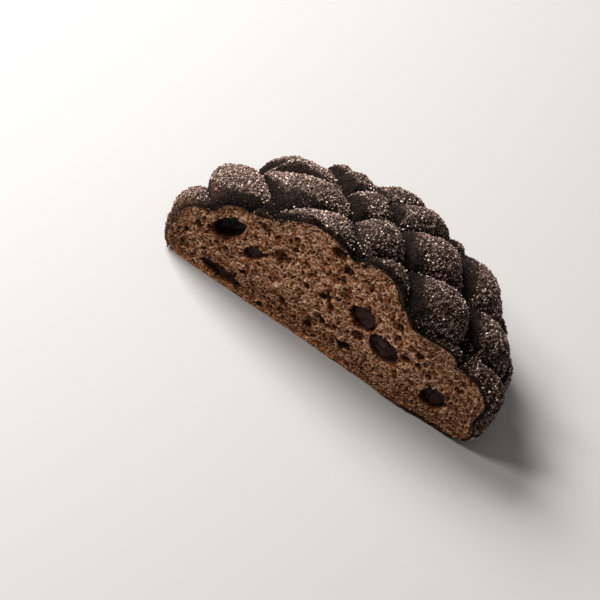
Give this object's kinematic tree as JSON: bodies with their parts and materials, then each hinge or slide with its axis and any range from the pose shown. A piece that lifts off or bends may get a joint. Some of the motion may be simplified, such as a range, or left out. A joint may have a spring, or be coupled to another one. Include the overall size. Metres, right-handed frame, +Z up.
{
  "type": "halved cocoa melon pan bun",
  "caption": "Half of a round sweet bread bun with a scored, sugared cocoa biscuit crust, its cut face showing open brown crumb and dark chocolate chips.",
  "frame": {"origin": "centre of the bounding box's bottom face, on the surface the bun's flat base rests on", "axes": "+Z up through the dome, X along the straight cut, -Y the way the cut face looks"},
  "size_m": [0.1108, 0.0584, 0.0434],
  "materials": {
    "biscuit": "dry granular cocoa biscuit with fine sugar",
    "crumb": "soft open cocoa bread crumb",
    "chocolate": "dark chocolate, satin where cut"
  },
  "bodies": {
    "root": {"biscuit_crust": "biscuit", "crumb": "crumb", "chip_1": "chocolate", "chip_2": "chocolate", "chip_3": "chocolate", "chip_4": "chocolate", "chip_5": "chocolate", "chip_6": "chocolate"}
  },
  "joints": []
}
